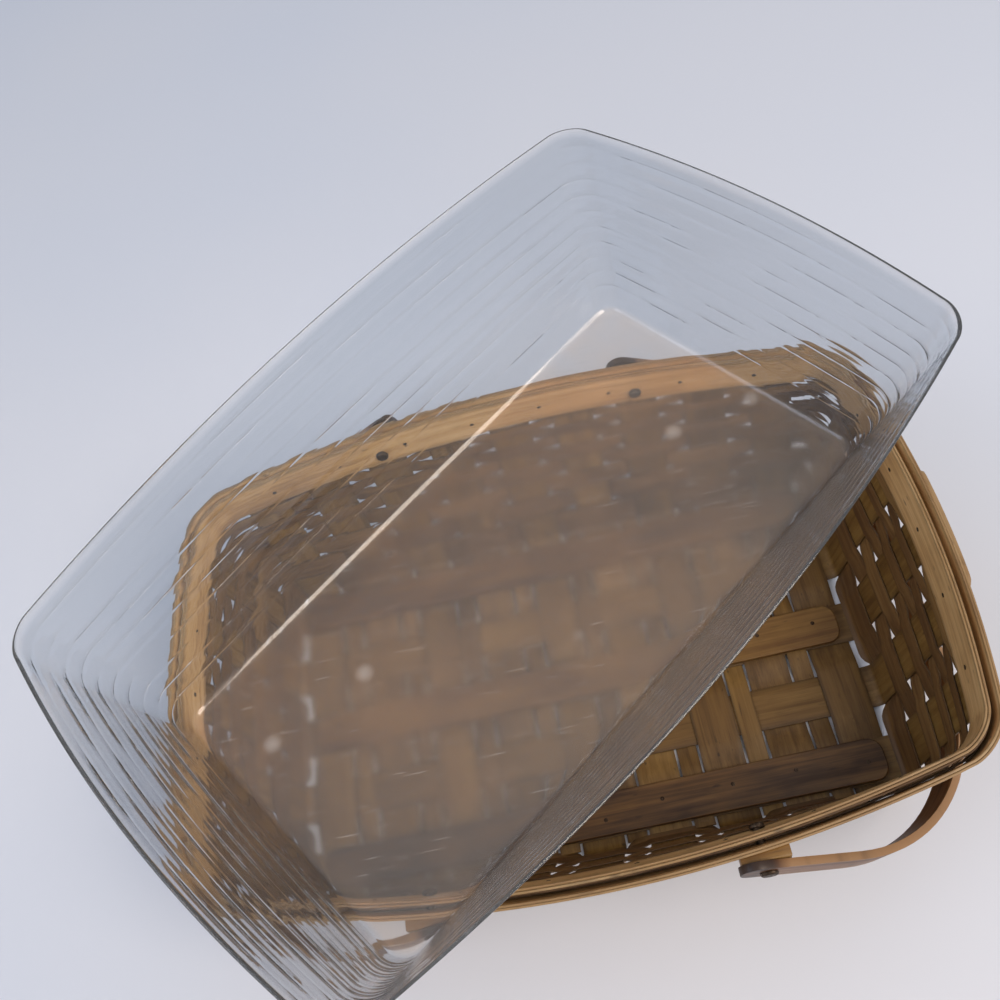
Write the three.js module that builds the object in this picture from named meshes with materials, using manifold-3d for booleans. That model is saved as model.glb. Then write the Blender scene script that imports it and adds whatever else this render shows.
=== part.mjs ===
// Gathering basket: splint-woven rectangular basket, two swing handles and a clear tray liner lying across it.
// Millimetres, +Z up, X along the length. The basket stands on z = 0 with the middle of its base at the origin.
import * as THREE from 'three';
import { mergeVertices } from 'three/addons/utils/BufferGeometryUtils.js';
import Module from 'manifold-3d';

// Splints and weavers
const splintWidth = 30;
const splintThickness = 1.2;
const crosswiseCount = 9;
const crosswisePitch = 47.6;
const lengthwiseCount = 5;
const lengthwisePitch = 51;
const fillerWidth = 14.5;
const weaverThickness = 0.9;
const weaverCount = 9;
const weaverTaper = 0.85;
const weaverGap = 0.6;
const topWeaverDrop = 6.7;
const weaverLap = 1.8;
const layerGap = 0.35;
const crossingMargin = 1.5;
const edgeMargin = 0.3;

// Wall
const rimHeight = 147;
const wallFoot = 6;
const firstWeaverFoot = 7;
const footRoom = 7;
const endFlare = 21.6;
const sideFlare = 14.8;
const endBow = 15;
const sideBow = 32;
const rimRadius = 21;
const uprightTopDrop = 2;
const wallSteps = 5;
const cornerSteps = 4;

// Rim
const bandHeight = 24;
const bandThickness = 3;
const bandGap = 0.35;
const lapThickness = 2.5;
const lapHeight = 18;
const lapDrop = 2;
const lapFrom = -46;
const lapTo = 36;
const lapSteps = 6;

// Runner boards inside on the base
const boardWidth = 29;
const boardThickness = 4;
const boardLength = 402;

// Handles and their pivots
const pivotUpright = 2;
const pivotDrop = 15;
const pinRadius = 2.5;
const headRadius = 5.2;
const headThickness = 1.8;
const holeGap = 0.3;
const seatGap = 0.3;
const blockLength = 28;
const blockHeight = 18;
const blockMinThickness = 3.5;
const handleThickness = 4.5;
const handleWidth = 20;
const handleClearance = 7.4;
const handleBend = 115;
const handleEar = 7;
const handleHang = 30;
const bendSteps = 9;

// Liner
const linerHalfX = 244;
const linerHalfY = 164;
const linerBowX = 13;
const linerBowY = 21;
const linerRadius = 16;
const linerDepth = 136;
const linerEndFlare = 22;
const linerSideFlare = 36;
const linerWall = 1.5;
const linerTurn = 37.4;
const linerShift = new THREE.Vector2(-8, 17);
const linerRest = 0.3;

// Layer heights on the base: crosswise splints pass under or over the flat lengthwise ones
const underLevel = splintThickness / 2;
const flatLevel = underLevel + splintThickness + layerGap;
const overLevel = flatLevel + splintThickness + layerGap;
// How far a weaver's middle and the rim bands' middles lie from the wall's middle surface
const weaverOffset = splintThickness / 2 + layerGap + weaverThickness / 2;
const bandOffset = weaverOffset + weaverThickness / 2 + bandGap + bandThickness / 2;
const bandFace = bandOffset + bandThickness / 2;
const crosswiseX = (k) => (k - (crosswiseCount - 1) / 2) * crosswisePitch;
const lengthwiseY = (j) => (j - (lengthwiseCount - 1) / 2) * lengthwisePitch;
const footHalfX = crosswiseX(crosswiseCount - 1) + splintWidth / 2 + footRoom;
const footHalfY = lengthwiseY(lengthwiseCount - 1) + splintWidth / 2 + footRoom;
const bandFoot = rimHeight - bandHeight;
const pivotHeight = rimHeight - pivotDrop;
// The weavers below the top one fill the wall from its foot to just above the foot of the rim bands
const weaverSpan = bandFoot + weaverLap - firstWeaverFoot;
const firstWeaverHeight = weaverSpan * (1 - weaverTaper) / (1 - weaverTaper ** weaverCount);
const pivotX = crosswiseX((crosswiseCount - 1) / 2 + pivotUpright);
// A handle passes outside the lapped end of the rim as it swings
const rimEnd = footHalfX + endFlare + endBow + bandFace + layerGap + lapThickness;
const handleReach = rimEnd + handleClearance + handleThickness / 2 - pivotX;

const basket = new THREE.Group();
const wasm = await Module();
wasm.setup();

const wood = (color, roughness) => () => new THREE.MeshStandardMaterial({ color, roughness, metalness: 0 });
const splintWood = wood('#b48a58', 0.7);
const weaverWood = wood('#a97f4f', 0.7);
const bandWood = wood('#c39a66', 0.6);
const boardWood = wood('#a9743f', 0.6);
const handleWood = wood('#bd935e', 0.55);
const darkMetal = () => new THREE.MeshStandardMaterial({ color: '#4a4038', roughness: 0.5, metalness: 0.8 });
const clearPlastic = () => new THREE.MeshStandardMaterial({
  color: '#d6d8d6', roughness: 0.25, metalness: 0, transparent: true, opacity: 0.4,
});

function add(name, geometry, material) {
  const mesh = new THREE.Mesh(geometry, material());
  mesh.name = name;
  basket.add(mesh);
  return mesh;
}

// Closed solid through a row of sections with the same number of corners, capped or joined into a ring.
// Both broad faces of a four-cornered strip are split along the same diagonal, so layers stay parallel. So are
// both walls of a tray, whose first half of sections goes up the outside and second half down the inside.
function skin(sections, ring = false) {
  const corners = sections[0].length;
  const points = sections.flat();
  const faces = [];
  const last = ring ? sections.length : sections.length - 1;
  for (let i = 0; i < last; i += 1) {
    const here = i * corners;
    const next = ((i + 1) % sections.length) * corners;
    for (let j = 0; j < corners; j += 1) {
      const k = (j + 1) % corners;
      const [a, b, c, d] = [here + j, next + j, next + k, here + k];
      const rising = corners === 4 ? j < 2 : i < sections.length / 2;
      if (rising) {
        faces.push(a, b, c, a, c, d);
      } else {
        faces.push(a, b, d, b, c, d);
      }
    }
  }
  if (!ring) {
    capEnd(points, faces, 0, corners, false);
    capEnd(points, faces, (sections.length - 1) * corners, corners, true);
  }
  return solid(points, faces);
}

// Closes one end of a row of sections: two triangles, or a fan about the middle where there are more corners
function capEnd(points, faces, start, corners, flip) {
  const fan = [];
  if (corners === 4) {
    fan.push([start, start + 1, start + 2], [start, start + 2, start + 3]);
  } else {
    const middle = new THREE.Vector3();
    for (let j = 0; j < corners; j += 1) {
      middle.addScaledVector(points[start + j], 1 / corners);
      fan.push([points.length, start + j, start + (j + 1) % corners]);
    }
    points.push(middle);
  }
  for (const [a, b, c] of fan) {
    faces.push(a, flip ? c : b, flip ? b : c);
  }
}

// Indexed geometry whose faces look outward, whichever way round they were listed
function solid(points, faces) {
  let volume = 0;
  for (let i = 0; i < faces.length; i += 3) {
    const [a, b, c] = [points[faces[i]], points[faces[i + 1]], points[faces[i + 2]]];
    volume += a.dot(b.clone().cross(c));
  }
  const geometry = new THREE.BufferGeometry();
  geometry.setAttribute('position', new THREE.Float32BufferAttribute(points.flatMap((p) => p.toArray()), 3));
  geometry.setIndex(volume < 0 ? faces.slice().reverse() : faces);
  geometry.computeVertexNormals();
  return geometry;
}

function toManifold(geometry) {
  const bare = geometry.clone();
  bare.deleteAttribute('normal');
  bare.deleteAttribute('uv');
  const joined = mergeVertices(bare, 1e-4);
  const vertProperties = Float32Array.from(joined.attributes.position.array);
  const triVerts = Uint32Array.from(joined.index.array);
  return new wasm.Manifold(new wasm.Mesh({ numProp: 3, vertProperties, triVerts }));
}

// Geometry with a pivot hole, along Y, cut through it at each of the given X places
function drill(geometry, places) {
  let body = toManifold(geometry);
  for (const x of places) {
    const bar = new THREE.CylinderGeometry(pinRadius + holeGap, pinRadius + holeGap, 4 * footHalfY, 12);
    bar.translate(x, 0, pivotHeight);
    body = body.subtract(toManifold(bar));
  }
  const mesh = body.getMesh();
  const geometryOut = new THREE.BufferGeometry();
  geometryOut.setAttribute('position', new THREE.BufferAttribute(Float32Array.from(mesh.vertProperties), 3));
  geometryOut.setIndex(Array.from(mesh.triVerts));
  geometryOut.computeVertexNormals();
  return geometryOut;
}

// The wall's middle surface as an outline at each height: a rounded rectangle with bowed sides
function outlineAt(z) {
  const share = z / rimHeight;
  return {
    halfX: footHalfX + endFlare * share,
    halfY: footHalfY + sideFlare * share,
    bowX: endBow * share,
    bowY: sideBow * share,
    radius: footRoom + (rimRadius - footRoom) * share,
  };
}

// Point of an outline. Sides run front, right, back, left, each with the corner that follows it.
function outlinePoint(outline, station) {
  const { halfX, halfY, bowX, bowY, radius } = outline;
  const turn = station.side * Math.PI / 2;
  const sideways = station.side % 2 === 0 ? halfY : halfX;
  const lengthways = station.side % 2 === 0 ? halfX : halfY;
  let flat = new THREE.Vector2(station.along, -sideways);
  if (station.bend !== undefined) {
    const angle = (station.bend - 1) * Math.PI / 2;
    flat = new THREE.Vector2(lengthways - radius, radius - sideways);
    flat.add(new THREE.Vector2(radius * Math.cos(angle), radius * Math.sin(angle)));
  }
  flat.rotateAround(new THREE.Vector2(0, 0), turn);
  const x = flat.x + flat.x / halfX * bowX * (1 - (flat.y / halfY) ** 2);
  const y = flat.y + flat.y / halfY * bowY * (1 - (flat.x / halfX) ** 2);
  return new THREE.Vector2(x, y);
}

// Point of an outline moved outward, square to the outline
function offsetPoint(outline, station, offset, z) {
  const key = station.bend === undefined ? 'along' : 'bend';
  const step = station.bend === undefined ? 0.5 : 0.05;
  const before = outlinePoint(outline, { ...station, [key]: station[key] - step });
  const after = outlinePoint(outline, { ...station, [key]: station[key] + step });
  const tangent = after.sub(before).normalize();
  const point = outlinePoint(outline, station);
  return new THREE.Vector3(point.x + tangent.y * offset, point.y - tangent.x * offset, z);
}

const wallPoint = (station, offset, z) => offsetPoint(outlineAt(z), station, offset, z);

// Places round the wall: both edges of every upright, and the steps round each corner
function wallStations() {
  const stations = [];
  let upright = 0;
  for (let side = 0; side < 4; side += 1) {
    const count = side % 2 === 0 ? crosswiseCount : lengthwiseCount;
    const place = side % 2 === 0 ? crosswiseX : lengthwiseY;
    for (let k = 0; k < count; k += 1) {
      for (const edge of [-1, 1]) {
        const along = place(k) + edge * (splintWidth / 2 + edgeMargin);
        stations.push({ side, along, sway: upright % 2 === 0 ? 1 : -1 });
      }
      upright += 1;
    }
    for (let step = 1; step <= cornerSteps; step += 1) {
      const share = step / (cornerSteps + 1);
      const sway = (upright % 2 === 0 ? -1 : 1) * (1 - 2 * share);
      stations.push({ side, bend: 0.1 + 0.8 * share, sway });
    }
  }
  return stations;
}

const stations = wallStations();

// Strip round the wall between two heights, swaying in and out past the uprights or held at one offset
function wallRing(low, high, thickness, offsetOf) {
  const sections = stations.map((station) => {
    const middle = offsetOf(station);
    return [
      wallPoint(station, middle - thickness / 2, low),
      wallPoint(station, middle + thickness / 2, low),
      wallPoint(station, middle + thickness / 2, high),
      wallPoint(station, middle - thickness / 2, high),
    ];
  });
  return skin(sections, true);
}

// Section of a splint standing in the wall
function wallSection(side, low, high, z) {
  const half = splintThickness / 2;
  return [
    wallPoint({ side, along: low }, -half, z),
    wallPoint({ side, along: high }, -half, z),
    wallPoint({ side, along: high }, half, z),
    wallPoint({ side, along: low }, half, z),
  ];
}

const uprightTop = rimHeight - uprightTopDrop;
const wallHeights = [];
for (let i = 0; i <= wallSteps; i += 1) {
  wallHeights.push(wallFoot + (uprightTop - wallFoot) * i / wallSteps);
}

// Where a crosswise splint passes each lengthwise one, under and over in turn
function crossings(k) {
  const places = [];
  for (let j = 0; j < lengthwiseCount; j += 1) {
    const level = (k + j) % 2 === 0 ? underLevel : overLevel;
    const reach = splintWidth / 2 + crossingMargin;
    places.push([lengthwiseY(j) - reach, level], [lengthwiseY(j) + reach, level]);
  }
  return places;
}

function crosswiseSection(x, width, y, level) {
  const half = splintThickness / 2;
  return [
    new THREE.Vector3(x + width / 2, y, level + half),
    new THREE.Vector3(x - width / 2, y, level + half),
    new THREE.Vector3(x - width / 2, y, level - half),
    new THREE.Vector3(x + width / 2, y, level - half),
  ];
}

function lengthwiseSection(x, y) {
  const half = splintThickness / 2;
  return [
    new THREE.Vector3(x, y - splintWidth / 2, flatLevel + half),
    new THREE.Vector3(x, y + splintWidth / 2, flatLevel + half),
    new THREE.Vector3(x, y + splintWidth / 2, flatLevel - half),
    new THREE.Vector3(x, y - splintWidth / 2, flatLevel - half),
  ];
}

// Crosswise splint: up the front wall, woven across the base, up the back wall
function crosswiseSplint(k) {
  const x = crosswiseX(k);
  const [left, right] = [x - splintWidth / 2, x + splintWidth / 2];
  const front = wallHeights.map((z) => wallSection(0, right, left, z)).reverse();
  const base = crossings(k).map(([y, level]) => crosswiseSection(x, splintWidth, y, level));
  const back = wallHeights.map((z) => wallSection(2, -right, -left, z));
  return skin([...front, ...base, ...back]);
}

// Lengthwise splint: up the left wall, flat along the base, up the right wall
function lengthwiseSplint(j) {
  const y = lengthwiseY(j);
  const [near, far] = [y - splintWidth / 2, y + splintWidth / 2];
  const end = footHalfX - footRoom + crossingMargin;
  const left = wallHeights.map((z) => wallSection(3, -near, -far, z)).reverse();
  const right = wallHeights.map((z) => wallSection(1, near, far, z));
  return skin([...left, lengthwiseSection(-end, y), lengthwiseSection(end, y), ...right]);
}

for (let j = 0; j < lengthwiseCount; j += 1) {
  add(`lengthwise_splint_${j + 1}`, lengthwiseSplint(j), splintWood);
}

for (let k = 0; k < crosswiseCount; k += 1) {
  const carriesPivot = Math.abs(k - (crosswiseCount - 1) / 2) === pivotUpright;
  const splint = crosswiseSplint(k);
  add(`crosswise_splint_${k + 1}`, carriesPivot ? drill(splint, [crosswiseX(k)]) : splint, splintWood);
}

for (let k = 0; k < crosswiseCount - 1; k += 1) {
  const x = crosswiseX(k + 0.5);
  const sections = crossings(k).map(([y, level]) => crosswiseSection(x, fillerWidth, y, level));
  add(`filler_splint_${k + 1}`, skin(sections), splintWood);
}

// Weavers grow narrower from the foot of the wall up, and each passes the uprights opposite to the one below
let weaverFoot = firstWeaverFoot;
let weaverHeight = firstWeaverHeight;
for (let row = 0; row < weaverCount; row += 1) {
  const sign = row % 2 === 0 ? 1 : -1;
  const top = weaverFoot + weaverHeight - weaverGap;
  const weaver = wallRing(weaverFoot, top, weaverThickness, (s) => sign * s.sway * weaverOffset);
  add(`weaver_row_${row + 1}`, weaver, weaverWood);
  weaverFoot += weaverHeight;
  weaverHeight *= weaverTaper;
}
const topSign = weaverCount % 2 === 0 ? 1 : -1;
const topWeaverTop = rimHeight - topWeaverDrop;
const topWeaver = wallRing(weaverFoot, topWeaverTop, weaverThickness, (s) => topSign * s.sway * weaverOffset);
add('weaver_row_top', drill(topWeaver, [-pivotX, pivotX]), weaverWood);

for (const [name, sign] of [['rim_band_inner', -1], ['rim_band_outer', 1]]) {
  const band = wallRing(bandFoot, rimHeight, bandThickness, () => sign * bandOffset);
  add(name, drill(band, [-pivotX, pivotX]), bandWood);
}

// Lapped end of the outer band, on the right end of the rim
function rimLap() {
  const sections = [];
  const inside = bandFace + layerGap;
  const outside = inside + lapThickness;
  const high = rimHeight - lapDrop;
  for (let i = 0; i <= lapSteps; i += 1) {
    const station = { side: 1, along: lapFrom + (lapTo - lapFrom) * i / lapSteps };
    sections.push([
      wallPoint(station, inside, high - lapHeight),
      wallPoint(station, outside, high - lapHeight),
      wallPoint(station, outside, high),
      wallPoint(station, inside, high),
    ]);
  }
  return skin(sections);
}

add('rim_band_lap', rimLap(), bandWood);

// Runner boards lie on the front, middle and back lengthwise splints
function runnerBoard() {
  const shape = new THREE.Shape();
  const reach = (boardLength - boardWidth) / 2;
  shape.moveTo(-reach, -boardWidth / 2);
  shape.lineTo(reach, -boardWidth / 2);
  shape.absarc(reach, 0, boardWidth / 2, -Math.PI / 2, Math.PI / 2, false);
  shape.lineTo(-reach, boardWidth / 2);
  shape.absarc(-reach, 0, boardWidth / 2, Math.PI / 2, Math.PI * 1.5, false);
  return new THREE.ExtrudeGeometry(shape, { depth: boardThickness, bevelEnabled: false, curveSegments: 10 });
}

const boardPlaces = { front: 0, middle: (lengthwiseCount - 1) / 2, back: lengthwiseCount - 1 };
for (const [place, j] of Object.entries(boardPlaces)) {
  const board = add(`runner_board_${place}`, runnerBoard(), boardWood);
  board.position.set(0, lengthwiseY(j), overLevel + splintThickness / 2 + layerGap);
}

// Pivots: a spacer block outside the rim, and a pin through rim, block and handle arm
const blockTop = pivotHeight + blockHeight / 2;
const blockCorner = wallPoint({ side: 0, along: pivotX - blockLength / 2 }, bandFace + seatGap, blockTop);
const blockFace = -blockCorner.y + blockMinThickness;
const armInside = blockFace + seatGap;
const armMiddle = armInside + handleThickness / 2;

function pivotBlock(endSign, sideSign) {
  const sections = [-1, 0, 1].map((step) => {
    const along = pivotX + step * blockLength / 2;
    const low = wallPoint({ side: 0, along }, bandFace + seatGap, pivotHeight - blockHeight / 2);
    const high = wallPoint({ side: 0, along }, bandFace + seatGap, blockTop);
    const corners = [[low.y, low.z], [high.y, high.z], [-blockFace, high.z], [-blockFace, low.z]];
    return corners.map(([y, z]) => new THREE.Vector3(endSign * along, -sideSign * y, z));
  });
  return drill(skin(sections), [endSign * pivotX]);
}

function pivotPin(sideSign) {
  const inner = wallPoint({ side: 0, along: pivotX }, -bandFace, pivotHeight - headRadius);
  const slope = wallPoint({ side: 0, along: pivotX }, -bandFace, pivotHeight + headRadius);
  const insideFace = Math.min(-inner.y, -slope.y) - seatGap - headRadius * 0.15;
  const outsideFace = armInside + handleThickness + seatGap;
  const profile = [
    [0, insideFace - headThickness], [headRadius * 0.6, insideFace - headThickness],
    [headRadius, insideFace - headThickness * 0.4], [headRadius, insideFace], [pinRadius, insideFace],
    [pinRadius, outsideFace], [headRadius, outsideFace], [headRadius, outsideFace + headThickness * 0.4],
    [headRadius * 0.6, outsideFace + headThickness], [0, outsideFace + headThickness],
  ].map(([r, y]) => new THREE.Vector2(r, y));
  const pin = new THREE.LatheGeometry(profile, 12);
  if (sideSign < 0) pin.rotateX(Math.PI);
  return pin;
}

// Handle: a bent strip, hanging from its two pivots round the outside of one end
function handle(endSign) {
  const hang = THREE.MathUtils.degToRad(handleHang);
  const out = new THREE.Vector3(endSign * Math.cos(hang), 0, -Math.sin(hang));
  const across = new THREE.Vector3(endSign * Math.sin(hang), 0, Math.cos(hang));
  const origin = new THREE.Vector3(endSign * pivotX, 0, pivotHeight);
  const half = handleWidth / 2;
  const route = [];
  for (const turn of [80, 55, 28, 0]) {
    const angle = THREE.MathUtils.degToRad(turn);
    const s = -handleEar - half * Math.sin(angle);
    route.push({ s, y: -armMiddle, face: [0, -1], half: half * Math.cos(angle) });
  }
  for (let i = 0; i <= bendSteps; i += 1) {
    const angle = Math.PI / 2 * i / bendSteps;
    const face = [Math.sin(angle), -Math.cos(angle)];
    const s = handleReach - handleBend + handleBend * face[0];
    route.push({ s, y: handleBend - armMiddle + handleBend * face[1], face, half });
  }
  const farSide = route.map((p) => ({ ...p, y: -p.y, face: [p.face[0], -p.face[1]] })).reverse();
  const sections = [...route, ...farSide].map(({ s, y, face, half: reach }) => {
    const corners = [[-1, -1], [1, -1], [1, 1], [-1, 1]];
    return corners.map(([layer, edge]) => {
      const point = origin.clone().addScaledVector(out, s + layer * face[0] * handleThickness / 2);
      point.y = y + layer * face[1] * handleThickness / 2;
      return point.addScaledVector(across, edge * reach);
    });
  });
  return drill(skin(sections), [endSign * pivotX]);
}

for (const [end, endSign] of [['left', -1], ['right', 1]]) {
  add(`handle_${end}`, handle(endSign), handleWood);
  for (const [side, sideSign] of [['front', -1], ['back', 1]]) {
    add(`pivot_block_${end}_${side}`, pivotBlock(endSign, sideSign), boardWood);
    const pin = add(`pivot_pin_${end}_${side}`, pivotPin(sideSign), darkMetal);
    pin.position.set(endSign * pivotX, 0, pivotHeight);
  }
}

// Liner: a thin tray with flared walls, lying turned across the rim
function linerLoop(inset, z) {
  const share = z / linerDepth;
  const outline = {
    halfX: linerHalfX - linerBowX - linerEndFlare * (1 - share) - inset,
    halfY: linerHalfY - linerBowY - linerSideFlare * (1 - share) - inset,
    bowX: linerBowX * share,
    bowY: linerBowY * share,
    radius: linerRadius - inset,
  };
  const loop = [];
  for (let side = 0; side < 4; side += 1) {
    const reach = (side % 2 === 0 ? outline.halfX : outline.halfY) - outline.radius;
    for (const share of [-1, -0.6, -0.2, 0.2, 0.6, 1]) {
      loop.push({ side, along: share * reach });
    }
    for (const bend of [0.2, 0.4, 0.6, 0.8]) {
      loop.push({ side, bend });
    }
  }
  return loop.map((station) => offsetPoint(outline, station, 0, z));
}

const liner = add('liner', skin([
  linerLoop(0, 0),
  linerLoop(0, linerDepth / 2),
  linerLoop(0, linerDepth),
  linerLoop(linerWall, linerDepth),
  linerLoop(linerWall, linerDepth / 2),
  linerLoop(linerWall, linerWall),
]), clearPlastic);
liner.rotation.z = THREE.MathUtils.degToRad(linerTurn);
liner.position.set(linerShift.x, linerShift.y, rimHeight + linerRest);

export default basket;
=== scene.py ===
import math
import random

import bpy
from mathutils import Matrix, Vector


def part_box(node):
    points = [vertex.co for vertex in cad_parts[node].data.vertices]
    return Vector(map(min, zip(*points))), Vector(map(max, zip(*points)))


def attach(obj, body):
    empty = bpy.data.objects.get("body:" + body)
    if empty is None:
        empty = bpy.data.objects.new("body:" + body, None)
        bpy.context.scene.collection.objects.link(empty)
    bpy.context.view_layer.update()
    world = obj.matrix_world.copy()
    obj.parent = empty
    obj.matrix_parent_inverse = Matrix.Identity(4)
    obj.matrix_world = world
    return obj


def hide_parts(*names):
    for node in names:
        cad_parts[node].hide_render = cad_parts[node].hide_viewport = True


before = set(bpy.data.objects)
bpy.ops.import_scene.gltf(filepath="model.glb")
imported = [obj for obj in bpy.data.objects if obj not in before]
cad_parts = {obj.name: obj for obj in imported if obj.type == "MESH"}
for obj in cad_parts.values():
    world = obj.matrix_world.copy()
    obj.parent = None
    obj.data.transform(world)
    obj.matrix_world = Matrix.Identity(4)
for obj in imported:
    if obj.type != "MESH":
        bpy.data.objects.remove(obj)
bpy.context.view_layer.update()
print("frame loaded:", len(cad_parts), "nodes")

# Sizes are in millimetres and become metres where a mesh gets its points
mm = 0.001
uvUnit = 100  # millimetres to one unit of a UV map
anyPhase = 6.3  # about a full turn, for waves that start anywhere
chance = random.Random(11)

# the basket's wall, which splints, weavers and bands follow
wall = {
    "rimHeight": 147, "footHalfX": 212.4, "footHalfY": 124, "footRadius": 7, "rimRadius": 21,
    "endFlare": 21.6, "sideFlare": 14.8, "endBow": 15, "sideBow": 32,
}


# small helpers

def smooth(share):
    return share * share * (3 - 2 * share)


def clamped(share):
    return min(1, max(0, share))


def linear(hexColour):
    parts = [int(hexColour[i:i + 2], 16) / 255 for i in (1, 3, 5)]
    return [p / 12.92 if p <= 0.04045 else ((p + 0.055) / 1.055) ** 2.4 for p in parts] + [1.0]


# adds a node with its settings, values and links, and the stops where it is a colour ramp
def node(tree, kind, settings=None, inputs=None, links=None, stops=()):
    made = tree.nodes.new(kind)
    for key, value in (settings or {}).items():
        setattr(made, key, value)
    for key, value in (inputs or {}).items():
        made.inputs[key].default_value = value
    for key, source in (links or {}).items():
        tree.links.new(source, made.inputs[key])
    for i, (place, colour) in enumerate(stops):
        line = made.color_ramp.elements
        stop = line[i] if i < len(line) else line.new(place)
        stop.position = place
        stop.color = linear(colour)
    return made


def newMaterial(name):
    made = bpy.data.materials.new(name)
    made.use_nodes = True
    tree = made.node_tree
    return made, tree, tree.nodes["Principled BSDF"]


# wall outline: a rounded rectangle with bowed sides, larger towards the rim

def outlineAt(z):
    share = z / wall["rimHeight"]
    return (
        wall["footHalfX"] + wall["endFlare"] * share, wall["footHalfY"] + wall["sideFlare"] * share,
        wall["endBow"] * share, wall["sideBow"] * share,
        wall["footRadius"] + (wall["rimRadius"] - wall["footRadius"]) * share,
    )


# a station is (side, place along it, None), or (side, 0, share of the turn) on the corner after that side
def outlinePoint(outline, side, along, bend):
    halfX, halfY, bowX, bowY, radius = outline
    sideways, lengthways = (halfY, halfX) if side % 2 == 0 else (halfX, halfY)
    px, py = along, -sideways
    if bend is not None:
        angle = (bend - 1) * math.pi / 2
        px = lengthways - radius + radius * math.cos(angle)
        py = radius - sideways + radius * math.sin(angle)
    for quarter in range(side):
        px, py = -py, px
    x = px + px / halfX * bowX * (1 - (py / halfY) ** 2)
    y = py + py / halfY * bowY * (1 - (px / halfX) ** 2)
    return Vector((x, y))


def offsetPoint(outline, station, offset, z):
    side, along, bend = station
    alongStep, bendStep = 0.5, 0.05  # to either side, for the wall's direction here
    if bend is None:
        before, after = (outlinePoint(outline, side, along + way * alongStep, None) for way in (-1, 1))
    else:
        before, after = (outlinePoint(outline, side, 0, bend + way * bendStep) for way in (-1, 1))
    tangent = (after - before).normalized()
    point = outlinePoint(outline, side, along, bend)
    return Vector((point.x + tangent.y * offset, point.y - tangent.x * offset, z))


def wallPoint(station, offset, z):
    return offsetPoint(outlineAt(z), station, offset, z)


# mesh work with Blender's own operators

def only(piece):
    bpy.ops.object.select_all(action="DESELECT")
    piece.select_set(True)
    bpy.context.view_layer.objects.active = piece


# a primitive to start from, with its place, turn and scale moved into its mesh
def started(add, **settings):
    bpy.ops.object.select_all(action="DESELECT")
    add(**settings)
    bpy.ops.object.transform_apply(location=True, rotation=True, scale=True)
    return bpy.context.object


# selects the edges or faces whose points pass a test, and leaves the piece in edit mode
def picked(piece, kind, test):
    only(piece)
    bpy.ops.object.mode_set(mode="EDIT")
    bpy.ops.mesh.select_mode(type=kind)
    bpy.ops.mesh.select_all(action="DESELECT")
    bpy.ops.object.mode_set(mode="OBJECT")
    for part in piece.data.edges if kind == "EDGE" else piece.data.polygons:
        part.select = test([piece.data.vertices[i].co for i in part.vertices])
    bpy.ops.object.mode_set(mode="EDIT")


def applied(piece, kind, **settings):
    only(piece)
    modifier = piece.modifiers.new(kind.title(), kind)
    for key, value in settings.items():
        setattr(modifier, key, value)
    bpy.ops.object.modifier_apply(modifier=modifier.name)


def smoothed(piece, degrees=40):
    only(piece)
    bpy.ops.object.shade_smooth_by_angle(angle=math.radians(degrees))


def joined(first, *others):
    only(first)
    for other in others:
        other.select_set(True)
    bpy.ops.object.join()
    return first


# a copy with a mesh of its own, moved or turned to its place
def copied(piece, name, move):
    only(piece)
    bpy.ops.object.duplicate(linked=False)
    copy = bpy.context.object
    copy.name = copy.data.name = name
    copy.data.transform(move)
    return copy


def removed(piece):
    only(piece)
    bpy.ops.object.delete()


# each piece shows another stretch of the grain
def grainShift():
    return chance.uniform(0, 9), chance.uniform(0, 9)


def marked(mesh, name, values):
    layer = mesh.attributes.new(name, "FLOAT", "POINT")
    layer.data.foreach_set("value", values)


# A strip or sheet: a grid laid out along its route, then given its thickness and eased edges.
# place gives a point from a step along the route and a place across, from -1 to 1.
# Its UV map runs along and across the strip, "tone" is the strip's own, "rim" is 1 at the long edges.
def sheetPiece(name, steps, across, thickness, length, width, place, closed=False, ease=0.25, tone=None):
    piece = started(bpy.ops.mesh.primitive_grid_add, x_subdivisions=steps, y_subdivisions=across, size=2)
    mesh = piece.data
    piece.name = mesh.name = name
    shiftU, shiftV = grainShift()
    for corner in mesh.uv_layers[0].data:
        corner.uv = (corner.uv.x * length / uvUnit + shiftU, corner.uv.y * width / uvUnit + shiftV)
    marked(mesh, "tone", [chance.uniform(-1, 1) if tone is None else tone] * len(mesh.vertices))
    marked(mesh, "rim", [abs(vertex.co.y) for vertex in mesh.vertices])
    for vertex in mesh.vertices:
        step = round((vertex.co.x + 1) / 2 * steps)
        vertex.co = place(step, vertex.co.y) * mm
    if closed:
        only(piece)
        bpy.ops.object.mode_set(mode="EDIT")
        bpy.ops.mesh.select_all(action="SELECT")
        bpy.ops.mesh.remove_doubles(threshold=1e-6)
        bpy.ops.mesh.normals_make_consistent(inside=False)
        bpy.ops.object.mode_set(mode="OBJECT")
    applied(piece, "SOLIDIFY", thickness=thickness * mm, offset=0, use_even_offset=True)
    applied(piece, "BEVEL", width=ease * mm, segments=2, limit_method="ANGLE", angle_limit=math.radians(55))
    smoothed(piece)
    return piece


def dressed(piece, material, body, slot, *nodes):
    piece.data.materials.clear()
    piece.data.materials.append(material)
    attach(piece, body)
    if nodes:
        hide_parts(*nodes)


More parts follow.
